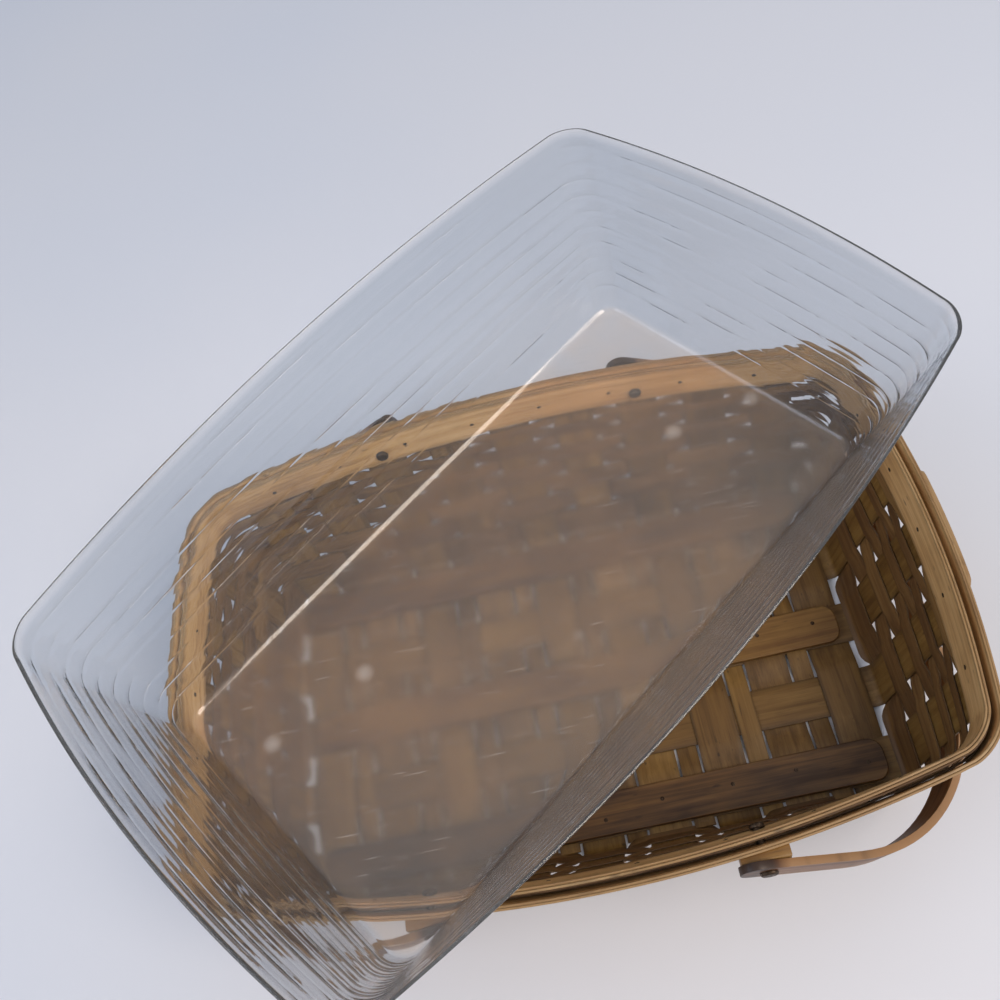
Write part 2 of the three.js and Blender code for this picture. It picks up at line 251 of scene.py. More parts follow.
# Finishes of the wood: colours from dark to light, streaks and pores in mm along and across the grain,
# how much strips differ in tone, relief in mm, and the colour that edges take, with its share.
# Real pores are about a tenth of a millimetre wide, and are drawn coarser here so that they show.
woods = {
    "stainedMapleSplint": {
        "colours": ("#593d16", "#745425", "#8a6934"), "streak": (85, 4.2), "pore": (11, 0.6), "rough": 0.54,
        "spread": 0.14, "relief": 0.1, "edge": "#3a2812", "edgeShare": 0.5,
    },
    "stainedMapleWeaver": {
        "colours": ("#563a1d", "#70502a", "#846338"), "streak": (70, 3.4), "pore": (10, 0.55), "rough": 0.56,
        "spread": 0.15, "relief": 0.1, "edge": "#3a2812", "edgeShare": 0.5,
    },
    "bentMapleBand": {
        "colours": ("#9f774a", "#c49b66", "#d9b481"), "streak": (130, 2.4), "pore": (14, 0.5), "rough": 0.5,
        "spread": 0.05, "relief": 0.1, "edge": "#3a2812", "edgeShare": 0.5,
    },
    "planedMapleBoard": {
        "colours": ("#3f260d", "#68461c", "#84612d"), "streak": (120, 4.2), "pore": (15, 0.7), "rough": 0.5,
        "spread": 0.17, "relief": 0.1, "edge": "#3a2812", "edgeShare": 0.5,
    },
    # the handles' pale edge colour is a painted highlight, for a top edge lit from the sky
    "bentMapleHandle": {
        "colours": ("#301b0b", "#6d4421", "#8d6134"), "streak": (150, 2.6), "pore": (16, 0.55), "rough": 0.42,
        "spread": 0.12, "relief": 0.08, "edge": "#a88259", "edgeShare": 0.65,
    },
}
grainMarks = {"clouds": (70, 26), "flecks": (16, 5)}  # in mm, on every wood


# Stained maple, split thin: long streaks of grain, fine dark pores, clouds of stain and dark flecks, each strip
# in its own tone, darker along the edges of strips, and with pale edges on the handles that are a painted highlight,
# for a top edge lit from the sky
def stainedMaple(name, look):
    made, tree, shader = newMaterial(name)
    where = node(tree, "ShaderNodeTexCoord").outputs["UV"]
    patterns = []
    for size, detail in (
            (look["streak"], {"Detail": 5, "Roughness": 0.6, "Distortion": 0.5}),
            (look["pore"], {"Detail": 2, "Roughness": 0.5}),
            (grainMarks["clouds"], {"Detail": 3, "Roughness": 0.55}),
            (grainMarks["flecks"], {"Detail": 1})):
        laid = node(tree, "ShaderNodeMapping", inputs={"Scale": (uvUnit / size[0], uvUnit / size[1], 1)},
                    links={"Vector": where})
        noise = node(tree, "ShaderNodeTexNoise", inputs={"Scale": 1, **detail},
                     links={"Vector": laid.outputs["Vector"]})
        patterns.append(noise.outputs["Fac"])
    streaks, pores, clouds, flecks = patterns
    tone = node(tree, "ShaderNodeAttribute", {"attribute_name": "tone"})
    edge = node(tree, "ShaderNodeAttribute", {"attribute_name": "rim"})
    # streaks, clouds and the strip's own tone pick the colour
    cloudPart = node(tree, "ShaderNodeMath", {"operation": "MULTIPLY_ADD"}, {1: 0.9, 2: -0.45}, {0: clouds})
    tonePart = node(tree, "ShaderNodeMath", {"operation": "MULTIPLY_ADD"}, {1: look["spread"]},
                    {0: tone.outputs["Fac"], 2: cloudPart.outputs[0]})
    pick = node(tree, "ShaderNodeMath", {"operation": "ADD"}, None, {0: streaks, 1: tonePart.outputs[0]})
    grain = node(tree, "ShaderNodeValToRGB", links={"Fac": pick.outputs[0]},
                 stops=zip((0.22, 0.5, 0.8), look["colours"]))
    poreLine = node(tree, "ShaderNodeMapRange", links={"Value": pores},
                    inputs={"From Min": 0.3, "From Max": 0.42, "To Min": 0.74, "To Max": 1.0})
    fleckMark = node(tree, "ShaderNodeMapRange", links={"Value": flecks},
                     inputs={"From Min": 0.7, "From Max": 0.77, "To Min": 1.0, "To Max": 0.45})
    edgePart = node(tree, "ShaderNodeMapRange", links={"Value": edge.outputs["Fac"]},
                    inputs={"From Min": 0.76, "From Max": 1.0, "To Min": 0.0, "To Max": look["edgeShare"]})
    # a colour mix has its colours at 6 and 7 and its result at 2
    # the edges take the edge colour: darker on strips, a painted highlight on the handles
    edgeTinted = node(tree, "ShaderNodeMix", {"data_type": "RGBA"}, {7: linear(look["edge"])},
                {0: edgePart.outputs[0], 6: grain.outputs["Color"]})
    shade = node(tree, "ShaderNodeMath", {"operation": "MULTIPLY"}, None,
                 {0: poreLine.outputs[0], 1: fleckMark.outputs[0]})
    colour = node(tree, "ShaderNodeMix", {"data_type": "RGBA", "blend_type": "MULTIPLY"}, {0: 1.0},
                  {6: edgeTinted.outputs[2], 7: shade.outputs[0]})
    gloss = node(tree, "ShaderNodeMapRange", links={"Value": streaks},
                 inputs={"From Min": 0.3, "From Max": 0.7,
                         "To Min": look["rough"] + 0.1, "To Max": look["rough"] - 0.08})
    relief = node(tree, "ShaderNodeMath", {"operation": "MULTIPLY_ADD"}, {1: 0.6},
                  {0: streaks, 2: poreLine.outputs[0]})
    bump = node(tree, "ShaderNodeBump", inputs={"Strength": 0.5, "Distance": look["relief"] * mm},
                links={"Height": relief.outputs[0]})
    tree.links.new(colour.outputs[2], shader.inputs["Base Color"])
    tree.links.new(gloss.outputs[0], shader.inputs["Roughness"])
    tree.links.new(bump.outputs["Normal"], shader.inputs["Normal"])
    shader.inputs["IOR"].default_value = 1.5
    return made


splintWood, weaverWood, bandWood, boardWood, handleWood = (stainedMaple(*finish) for finish in woods.items())
print("wood materials made")

# spots in mm, drawn coarse enough to show
steelLook = {"colours": ("#2b2119", "#4a3c30", "#7a6858"), "spot": 1.6, "metallic": 0.85}


# Blackened steel of pins, tacks and nails: dull grey-brown with rubbed spots
def blackenedSteel():
    made, tree, shader = newMaterial("blackenedSteel")
    where = node(tree, "ShaderNodeTexCoord").outputs["Object"]
    spots = node(tree, "ShaderNodeTexNoise", inputs={"Scale": 1 / (steelLook["spot"] * mm), "Detail": 4},
                 links={"Vector": where})
    colour = node(tree, "ShaderNodeValToRGB", links={"Fac": spots.outputs["Fac"]},
                  stops=zip((0.3, 0.55, 0.8), steelLook["colours"]))
    rough = node(tree, "ShaderNodeMapRange", links={"Value": spots.outputs["Fac"]},
                 inputs={"From Min": 0.3, "From Max": 0.7, "To Min": 0.62, "To Max": 0.38})
    tree.links.new(colour.outputs["Color"], shader.inputs["Base Color"])
    tree.links.new(rough.outputs[0], shader.inputs["Roughness"])
    shader.inputs["Metallic"].default_value = steelLook["metallic"]
    return made


# colours, and the sizes of scuffs, spots and scratches in mm; fine scratches are drawn wide enough to show
acrylicLook = {
    # wall: the acrylic's blue-grey tint, made darker as painted shade for the shadow the liner does not cast on what
    # is seen through it
    "wall": "#dde2e7", "base": "#ecdfd2", "lip": "#fdfdfd", "ior": 1.49,
    "scuff": 55, "spot": 62, "scratchLong": 30, "scratchWide": 0.9, "scratchTurn": -37.4,
}


# Clear acrylic, moulded: see-through walls, tinted a little darker as painted shade, a base dulled by scuffs, rubbed
# spots and fine scratches.
# "haze" is 1 on the base and 0 on the walls, "lip" is 1 at the clear upper edge.
def clearAcrylic():
    made, tree, shader = newMaterial("clearAcrylic")
    where = node(tree, "ShaderNodeTexCoord").outputs["Object"]
    haze = node(tree, "ShaderNodeAttribute", {"attribute_name": "haze"})
    lip = node(tree, "ShaderNodeAttribute", {"attribute_name": "lip"})
    scuffs = node(tree, "ShaderNodeTexNoise", links={"Vector": where},
                  inputs={"Scale": 1 / (acrylicLook["scuff"] * mm), "Detail": 6, "Roughness": 0.6})
    spots = node(tree, "ShaderNodeTexVoronoi", {"feature": "F1"},
                 {"Scale": 1 / (acrylicLook["spot"] * mm), "Randomness": 1.0}, {"Vector": where})
    spotMark = node(tree, "ShaderNodeMapRange", links={"Value": spots.outputs["Distance"]},
                    inputs={"From Min": 0.03, "From Max": 0.12, "To Min": 1.0, "To Max": 0.0})
    # scratches run along the liner
    scratchLong, scratchWide = (1 / (acrylicLook[size] * mm) for size in ("scratchLong", "scratchWide"))
    turned = node(tree, "ShaderNodeMapping", links={"Vector": where},
                  inputs={"Rotation": (0, 0, math.radians(acrylicLook["scratchTurn"])),
                          "Scale": (scratchLong, scratchWide, scratchLong)})
    scratches = node(tree, "ShaderNodeTexNoise", inputs={"Scale": 1, "Detail": 2},
                     links={"Vector": turned.outputs["Vector"]})
    scratchMark = node(tree, "ShaderNodeMapRange", links={"Value": scratches.outputs["Fac"]},
                       inputs={"From Min": 0.66, "From Max": 0.74, "To Min": 0.0, "To Max": 1.0})
    cloud = node(tree, "ShaderNodeMapRange", links={"Value": scuffs.outputs["Fac"]},
                 inputs={"From Min": 0.3, "From Max": 0.75, "To Min": 0.35, "To Max": 1.0})
    dull = node(tree, "ShaderNodeMath", {"operation": "MULTIPLY"}, None,
                {0: cloud.outputs[0], 1: haze.outputs["Fac"]})
    marks = node(tree, "ShaderNodeMath", {"operation": "MAXIMUM"}, None,
                 {0: spotMark.outputs[0], 1: scratchMark.outputs[0]})
    baseMarks = node(tree, "ShaderNodeMath", {"operation": "MULTIPLY"}, None,
                     {0: marks.outputs[0], 1: haze.outputs["Fac"]})
    rough = node(tree, "ShaderNodeMapRange", links={"Value": dull.outputs[0]},
                 inputs={"From Min": 0.0, "From Max": 1.0, "To Min": 0.03, "To Max": 0.2})
    clearPart = node(tree, "ShaderNodeMapRange", links={"Value": dull.outputs[0]},
                     inputs={"From Min": 0.0, "From Max": 1.0, "To Min": 0.97, "To Max": 0.94})
    clear = node(tree, "ShaderNodeMath", {"operation": "MULTIPLY_ADD", "use_clamp": True}, {1: -0.16},
                 {0: baseMarks.outputs[0], 2: clearPart.outputs[0]})
    body = node(tree, "ShaderNodeMix", {"data_type": "RGBA"},
                {6: linear(acrylicLook["wall"]), 7: linear(acrylicLook["base"])}, {0: dull.outputs[0]})
    colour = node(tree, "ShaderNodeMix", {"data_type": "RGBA"}, {7: linear(acrylicLook["lip"])},
                  {0: lip.outputs["Fac"], 6: body.outputs[2]})
    tree.links.new(colour.outputs[2], shader.inputs["Base Color"])
    tree.links.new(rough.outputs[0], shader.inputs["Roughness"])
    tree.links.new(clear.outputs[0], shader.inputs["Transmission Weight"])
    shader.inputs["IOR"].default_value = acrylicLook["ior"]
    return made


pinSteel = blackenedSteel()
acrylic = clearAcrylic()
print("steel and acrylic made")

# splints of the base, which turn up as the uprights of the walls; "under", "flat" and "over" are levels of the weave
splints = {
    "width": 30, "thickness": 1.2, "under": 0.6, "flat": 2.15, "over": 3.7, "crossingReach": 16.5,
    "crossingSteps": 3, "easeSteps": 6,
    "crosswiseCount": 9, "crosswisePitch": 47.6, "crosswiseLength": 560,
    "lengthwiseCount": 5, "lengthwisePitch": 51, "lengthwiseLength": 720, "flatPast": 1.5, "flatSteps": 24,
    "wallFrom": 9, "wallTo": 133, "wallSteps": 16, "turnSteps": 5,
    "fillerWidth": 14.5, "fillerLength": 240, "tipFrom": 118.5, "tipStep": 1.5, "tipLift": 0.12,
}
splintHalf = splints["width"] / 2
fillerHalf = splints["fillerWidth"] / 2


def crosswiseX(k):
    return (k - (splints["crosswiseCount"] - 1) / 2) * splints["crosswisePitch"]


def lengthwiseY(j):
    return (j - (splints["lengthwiseCount"] - 1) / 2) * splints["lengthwisePitch"]


# route over the base: (place, level) under and over each lengthwise splint, easing between
def baseRoute(k):
    route = []
    reach = splints["crossingReach"]
    room = splints["lengthwisePitch"] - 2 * reach
    for j in range(splints["lengthwiseCount"]):
        level, after = splints["under"], splints["over"]
        if (k + j) % 2 == 1:
            level, after = after, level
        for step in range(splints["crossingSteps"] + 1):
            route.append((lengthwiseY(j) - reach + 2 * reach * step / splints["crossingSteps"], level))
        if j < splints["lengthwiseCount"] - 1:
            for step in range(1, splints["easeSteps"]):
                share = step / splints["easeSteps"]
                route.append((lengthwiseY(j) + reach + room * share, level + (after - level) * smooth(share)))
    return route


# the turn from the base up into the wall
def turnUp(pointAt, station, start, level):
    def place(share, across):
        low = pointAt(start, across, level)
        high = wallPoint(station(across), 0, splints["wallFrom"])
        corner = Vector((high.x, high.y, level))
        return low * (1 - share) ** 2 + corner * 2 * share * (1 - share) + high * share ** 2
    return place


# a splint from rim to rim, as functions from a place across the splint to a point
def splintPlaces(pointAt, base, nearStation, farStation):
    wallSteps, turnSteps = splints["wallSteps"], splints["turnSteps"]
    heights = [splints["wallFrom"] + (splints["wallTo"] - splints["wallFrom"]) * i / wallSteps
               for i in range(wallSteps + 1)]
    nearTurn = turnUp(pointAt, nearStation, *base[0])
    farTurn = turnUp(pointAt, farStation, *base[-1])
    turns = [step / turnSteps for step in range(1, turnSteps)]
    places = [lambda across, z=z: wallPoint(nearStation(across), 0, z) for z in reversed(heights)]
    places += [lambda across, share=share: nearTurn(share, across) for share in reversed(turns)]
    places += [lambda across, at=at, level=level: pointAt(at, across, level) for at, level in base]
    places += [lambda across, share=share: farTurn(share, across) for share in turns]
    places += [lambda across, z=z: wallPoint(farStation(across), 0, z) for z in heights]
    return places


def splintPiece(name, length, places):
    strip = sheetPiece("woven_" + name, steps=len(places) - 1, across=4, thickness=splints["thickness"],
                       length=length, width=splints["width"], place=lambda i, w: places[i](w * splintHalf))
    dressed(strip, splintWood, "basket", "splint_wood", name)


for k in range(splints["crosswiseCount"]):
    x = crosswiseX(k)
    splintPiece(f"crosswise_splint_{k + 1}", splints["crosswiseLength"], splintPlaces(
        lambda y, across, level: Vector((x + across, y, level)), baseRoute(k),
        lambda across: (0, x + across, None), lambda across: (2, -x - across, None)))

flatReach = wall["footHalfX"] - wall["footRadius"] + splints["flatPast"]
flatBase = [(-flatReach + 2 * flatReach * i / splints["flatSteps"], splints["flat"])
            for i in range(splints["flatSteps"] + 1)]
for j in range(splints["lengthwiseCount"]):
    y = lengthwiseY(j)
    splintPiece(f"lengthwise_splint_{j + 1}", splints["lengthwiseLength"], splintPlaces(
        lambda x, across, level: Vector((x, y + across, level)), flatBase,
        lambda across: (3, -y - across, None), lambda across: (1, y + across, None)))

# fillers stop at the edge of the base, their ends lifted a little towards the wall
tips = [(splints["tipFrom"] + splints["tipStep"] * i, splints["tipLift"] * i * i) for i in (1, 2, 3)]
for k in range(splints["crosswiseCount"] - 1):
    route = baseRoute(k)
    nearTip = [(-y, route[0][1] + rise) for y, rise in reversed(tips)]
    farTip = [(y, route[-1][1] + rise) for y, rise in tips]
    route = nearTip + route + farTip
    x = crosswiseX(k + 0.5)
    name = f"filler_splint_{k + 1}"
    strip = sheetPiece("woven_" + name, steps=len(route) - 1, across=2, thickness=splints["thickness"],
                       length=splints["fillerLength"], width=splints["fillerWidth"],
                       place=lambda i, w: Vector((x + w * fillerHalf, *route[i])))
    dressed(strip, splintWood, "basket", "splint_wood", name)
print("splints woven")

# weaver rows round the wall, narrower towards the rim
weavers = {
    "count": 9, "foot": 7, "span": 117.8, "taper": 0.85, "gap": 0.6, "thickness": 0.9, "offset": 1.4,
    "length": 1500, "slack": 0.3, "uprightSteps": 4, "easeSteps": 6,
    "cornerFrom": 0.1, "cornerSpan": 0.8, "cornerSteps": 12,
    "wobble": 0.13, "wobbleWaves": 9, "fineWobble": 0.1, "fineWaves": 17,
    # the lowest row follows the turn of the uprights in over the base
    "tuck": 7, "turned": 0.375, "tuckFrom": 0.1, "tuckMore": 0.45,
    # the top row is a pair of strips between the bands
    "topThickness": 1.2, "topEdge": 140.3, "innerTop": 141.5, "outerTop": 131, "pairApart": 0.95, "pairSway": 0.35,
}


# stations round the wall with the sway of a weaver: out at one upright, in at the next
def wallRoute():
    route = []
    upright = 0
    edge = splintHalf + weavers["slack"]
    for side in range(4):
        run = "crosswise" if side % 2 == 0 else "lengthwise"
        count, pitch = splints[run + "Count"], splints[run + "Pitch"]
        for k in range(count):
            middle = (k - (count - 1) / 2) * pitch
            sway = 1 if upright % 2 == 0 else -1
            for step in range(weavers["uprightSteps"] + 1):
                route.append(((side, middle - edge + 2 * edge * step / weavers["uprightSteps"], None), sway))
            if k < count - 1:
                for step in range(1, weavers["easeSteps"]):
                    share = step / weavers["easeSteps"]
                    along = middle + edge + (pitch - 2 * edge) * share
                    lean = 1 - 2 * share
                    route.append(((side, along, None), sway * lean * abs(lean)))
            upright += 1
        for step in range(1, weavers["cornerSteps"]):
            share = step / weavers["cornerSteps"]
            bend = weavers["cornerFrom"] + weavers["cornerSpan"] * share
            route.append(((side, 0, bend), sway * (1 - 2 * smooth(share))))
    return route


# a place on the lowest row: share 0 is its edge over the base, 1 its upper edge
def lowestPlace(station, lean, share, top):
    side, along, bend = station
    foot = splints["wallFrom"]
    shift = lean * weavers["offset"]
    turned = weavers["turned"]
    if share > turned:
        return wallPoint(station, shift, foot + (top - foot) * (share - turned) / (1 - turned))
    start = weavers["tuckFrom"] + weavers["tuckMore"] * max(0, lean)
    curve = start + (1 - start) * share / turned
    # splints of the long sides lie lower or higher by turns, those of the ends lie level
    corner = 0 if bend is None else (bend - weavers["cornerFrom"]) / weavers["cornerSpan"]
    lift = 1 - corner if side % 2 == 0 else corner
    level = splints["flat"] - (splints["over"] - splints["flat"]) * lean * lift
    high = wallPoint(station, 0, foot)
    outward = high - wallPoint(station, -weavers["tuck"], foot)
    slope = Vector((weavers["tuck"] * (1 - curve), (foot - level) * curve)).normalized()
    point = high - outward * (1 - curve) ** 2 + outward.normalized() * slope.y * shift
    point.z = level + (foot - level) * curve ** 2 - slope.x * shift
    return point


route = wallRoute()
around = len(route)
foot = weavers["foot"]
height = weavers["span"] * (1 - weavers["taper"]) / (1 - weavers["taper"] ** weavers["count"])
for row in range(weavers["count"] + 1):
    last = row == weavers["count"]
    sign = 1 if row % 2 == 0 else -1
    top = weavers["topEdge"] if last else foot + height - weavers["gap"]
    waves = [chance.uniform(0, anyPhase) for i in range(4)]  # three in use; the fourth keeps the draws in order

    # hand is -1 or 1 for the inner or outer strip of the top row
    def weaverPlace(i, w, hand=0):
        station, sway = route[i % around]
        if row == 0:
            return lowestPlace(station, sway, (w + 1) / 2, top)
        turn = 2 * math.pi * (i % around) / around
        uneven = (weavers["wobble"] * math.sin(weavers["wobbleWaves"] * turn + waves[0 if w < 0 else 1])
                  + weavers["fineWobble"] * math.sin(weavers["fineWaves"] * turn + waves[2]))
        atEdge = abs(w) > 0.9
        shift = sign * sway * weavers["offset"]
        if hand:
            shift = hand * (weavers["pairApart"] + weavers["pairSway"] * abs(sway))
        high = {-1: weavers["innerTop"], 0: top, 1: weavers["outerTop"]}[hand]
        z = (foot + high) / 2 + w * (high - foot) / 2 + (uneven if atEdge else 0)
        return wallPoint(station, shift, z)

    if last:
        name = "weaver_row_top"
        pair = []
        for hand in (-1, 1):
            pair.append(sheetPiece("woven_" + name, steps=around, across=3, thickness=weavers["topThickness"],
                                   length=weavers["length"], width=top - foot, closed=True,
                                   place=lambda i, w: weaverPlace(i, w, hand)))
        strip = joined(*pair)
    else:
        name = f"weaver_row_{row + 1}"
        strip = sheetPiece("woven_" + name, steps=around, across=8 if row == 0 else 3, closed=True,
                           thickness=weavers["thickness"], length=weavers["length"], width=top - foot,
                           place=weaverPlace)
    dressed(strip, weaverWood, "basket", "weaver_wood", name)
    foot += height
    height *= weavers["taper"]
print("weavers woven")

# rim bands: two bent layers each, so a fine seam shows along the top edge
rim = {
    "foot": 123, "top": 147, "offset": 3.7, "layer": 1.42, "seam": 0.16, "ease": 0.45, "length": 1600,
    "sideReach": 205, "endReach": 116.5, "sideSteps": 36, "cornerFrom": 0.08, "cornerSpan": 0.84, "cornerSteps": 13,
    "setBack": 0.5, "layerTone": 0.2,
}
rimWidth = rim["top"] - rim["foot"]
bandRoute = []
for side in range(4):
    reach = rim["sideReach"] if side % 2 == 0 else rim["endReach"]
    bandRoute += [(side, -reach + 2 * reach * i / rim["sideSteps"], None) for i in range(rim["sideSteps"] + 1)]
    bandRoute += [(side, 0, rim["cornerFrom"] + rim["cornerSpan"] * i / rim["cornerSteps"])
                  for i in range(rim["cornerSteps"] + 1)]

for name, sign in (("rim_band_inner", -1), ("rim_band_outer", 1)):
    layers = []
    for layer in (-1, 1):
        shift = sign * rim["offset"] + layer * (rim["layer"] + rim["seam"]) / 2
        lower = rim["setBack"] if layer == sign else 0.0  # the layer away from the wall is a little narrower

        def bandPlace(i, w):
            z = (rim["foot"] + rim["top"]) / 2 + w * (rimWidth / 2 - lower)
            return wallPoint(bandRoute[i % len(bandRoute)], shift, z)

        layers.append(sheetPiece("bent_" + name, steps=len(bandRoute), across=4, thickness=rim["layer"],
                                 length=rim["length"], width=rimWidth, place=bandPlace, closed=True,
                                 ease=rim["ease"], tone=rim["layerTone"] * layer))
    dressed(joined(*layers), bandWood, "basket", "band_wood", name)

# the lapped end of the outer band, on the right end
lap = {
    "from": -46, "to": 36, "middle": 136, "half": 9, "offset": 6.8, "thickness": 2.5, "ease": 0.6, "steps": 28,
    "rounding": 6, "endShare": 0.65, "tone": -0.4,
}
lapLength = lap["to"] - lap["from"]


def lapPlace(i, w):
    share = i / lap["steps"]
    along = lap["from"] + lapLength * share
    near = min(share, 1 - share) * lapLength
    corner = math.sqrt(max(0, 1 - (1 - min(near / lap["rounding"], 1)) ** 2))
    narrowed = corner * (1 - lap["endShare"]) + lap["endShare"]
    return wallPoint((1, along, None), lap["offset"], lap["middle"] + w * lap["half"] * narrowed)


strip = sheetPiece("bent_rim_band_lap", steps=lap["steps"], across=4, thickness=lap["thickness"], length=lapLength,
                   width=2 * lap["half"], place=lapPlace, ease=lap["ease"], tone=lap["tone"])
dressed(strip, bandWood, "basket", "band_wood", "rim_band_lap")
print("rim bent")

# runner boards: a plank with its ends rounded by a wide bevel, then all edges eased, copied to each place
boards = {
    "length": 402, "width": 29, "thickness": 3.9, "underside": 4.7, "endBevel": 0.34, "ease": 0.9, "rim": 0.6,
    "splints": {"front": 0, "middle": 2, "back": 4}, "tones": {"front": -0.8, "middle": 0.7, "back": -0.1},
}


# grain along x and the marks that the wood's material reads
def gradeBoard(piece, tone):
    mesh = piece.data
    shiftU, shiftV = grainShift()
    for loop, corner in zip(mesh.loops, mesh.uv_layers[0].data):
        point = mesh.vertices[loop.vertex_index].co / mm
        corner.uv = (point.x / uvUnit + shiftU, (point.y + point.z) / uvUnit + shiftV)
    marked(mesh, "tone", [tone] * len(mesh.vertices))
    marked(mesh, "rim", [boards["rim"]] * len(mesh.vertices))


plank = started(bpy.ops.mesh.primitive_cube_add, size=1,
                location=(0, 0, (boards["underside"] + boards["thickness"] / 2) * mm),
                scale=(boards["length"] * mm, boards["width"] * mm, boards["thickness"] * mm))
picked(plank, "EDGE", lambda points: abs(points[0].z - points[1].z) > 1e-4)
bpy.ops.mesh.bevel(offset=boards["width"] * boards["endBevel"] * mm, segments=9, affect="EDGES")
bpy.ops.object.mode_set(mode="OBJECT")
smoothed(plank)
applied(plank, "BEVEL", width=boards["ease"] * mm, segments=3, limit_method="ANGLE",
        angle_limit=math.radians(60), harden_normals=True)
for place, j in boards["splints"].items():
    name = "runner_board_" + place
    board = copied(plank, "planed_" + name, Matrix.Translation((0, lengthwiseY(j) * mm, 0)))
    gradeBoard(board, boards["tones"][place])
    dressed(board, boardWood, "basket", "board_wood", name)
removed(plank)
print("boards planed")

# nails in the boards, and tacks in both bands
fasteners = {
    "nailRadius": 1.5, "nailStand": 0.25, "nailSpread": 0.97, "nailStray": 5,  # how far a nail strays from its place
    "tackRadius": 1.5, "tackStand": 0.3, "tackHeight": 134, "tackOffset": 5.2,
    "sideReach": 180, "sideCount": 8, "endReach": 92, "endCount": 5,
    # each inset of the domed head: share of the radius, and rise as a share of the stand
    "dome": ((0.16, 0.22), (0.3, 0.2), (0.34, 0.08)),
}


# one stud with a low domed head, sunk by half into what carries it, copied to each place
def studs(name, places, radius, stand):
    stud = started(bpy.ops.mesh.primitive_cylinder_add, vertices=14, radius=radius * mm, depth=stand * mm)
    picked(stud, "FACE", lambda points: min(point.z for point in points) > 0)
    for inset, rise in fasteners["dome"]:
        bpy.ops.mesh.inset(thickness=inset * radius * mm, depth=rise * stand * mm)
    bpy.ops.object.mode_set(mode="OBJECT")
    smoothed(stud, 60)
    copies = []
    for point, outward in places:
        turn = outward.to_track_quat("Z", "Y").to_matrix().to_4x4()
        copies.append(copied(stud, name, Matrix.Translation(point * mm) @ turn))
    removed(stud)
    made = joined(*copies)
    made.name = made.data.name = name
    dressed(made, pinSteel, "basket", "pin_metal")


nailPlaces = []
for j in boards["splints"].values():
    for k in range(splints["crosswiseCount"]):
        x = crosswiseX(k) * fasteners["nailSpread"] + chance.uniform(-1, 1) * fasteners["nailStray"]
        y = lengthwiseY(j) + chance.uniform(-1, 1) * fasteners["nailStray"]
        nailPlaces.append((Vector((x, y, boards["underside"] + boards["thickness"])), Vector((0, 0, 1))))
studs("board_nails", nailPlaces, fasteners["nailRadius"], fasteners["nailStand"])

tackPlaces = []
for side in range(4):
    run = "side" if side % 2 == 0 else "end"
    reach, count = fasteners[run + "Reach"], fasteners[run + "Count"]
    for i in range(count):
        station = (side, -reach + 2 * reach * i / (count - 1), None)
        for sign in (-1, 1):
            face, beyond = (wallPoint(station, sign * (fasteners["tackOffset"] + past), fasteners["tackHeight"])
                            for past in (0, 2))
            tackPlaces.append((face, (beyond - face).normalized()))
studs("rim_tacks", tackPlaces, fasteners["tackRadius"], fasteners["tackStand"])
print("tacks and nails set")

# handles: the right one is bent to its route, the left one is a copy turned half way round
handles = {
    "pivotX": 95.2, "pivotHeight": 132, "thickness": 4.5, "width": 20, "hang": 30, "bend": 115, "ear": 7,
    "length": 560, "ease": 1.1, "earTurns": (88, 75, 60, 45, 30, 15, 0), "straightSteps": 8, "bendSteps": 24,
    "middleAcross": (-20, 0, 20),
    # the ears round the pivots are darker, fading out past the pivot, and the painted highlight on the edges fades
    # out on them
    "earDark": 3.2, "earBehind": 9, "earFade": 14, "earEdgeFade": 3,
}
hang = math.radians(handles["hang"])
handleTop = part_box("handle_right")[1] / mm
armMiddle = handleTop.y - handles["thickness"] / 2
# the far face of the bend, at its upper edge, gives the reach from the pivot
handleReach = ((handleTop.x - handles["pivotX"] - handles["width"] / 2 * math.sin(hang)) / math.cos(hang)
               - handles["thickness"] / 2)


# points of the handle's middle line: (out from the pivots, across, half its width there)
def handleRoute():
    middle = []
    ear, bend, halfWide = handles["ear"], handles["bend"], handles["width"] / 2
    for turn in handles["earTurns"]:
        angle = math.radians(turn)
        middle.append((-ear - halfWide * math.sin(angle), -armMiddle, halfWide * math.cos(angle)))
    straight = handleReach - bend
    for i in range(1, handles["straightSteps"]):
        middle.append((-ear + (straight + ear) * i / handles["straightSteps"], -armMiddle, halfWide))
    for i in range(handles["bendSteps"] + 1):
        angle = math.pi / 2 * i / handles["bendSteps"]
        middle.append((straight + bend * math.sin(angle), bend - armMiddle - bend * math.cos(angle), halfWide))
    across = [(middle[-1][0], y, halfWide) for y in handles["middleAcross"]]
    return middle + across + [(out, -y, wide) for out, y, wide in reversed(middle)]


bentRoute = handleRoute()
outward = Vector((math.cos(hang), 0, -math.sin(hang)))
upward = Vector((math.sin(hang), 0, math.cos(hang)))
pivot = Vector((handles["pivotX"], 0, handles["pivotHeight"]))


def handlePlace(i, w):
    out, y, halfWide = bentRoute[i]
    return pivot + outward * out + Vector((0, y, 0)) + upward * w * halfWide


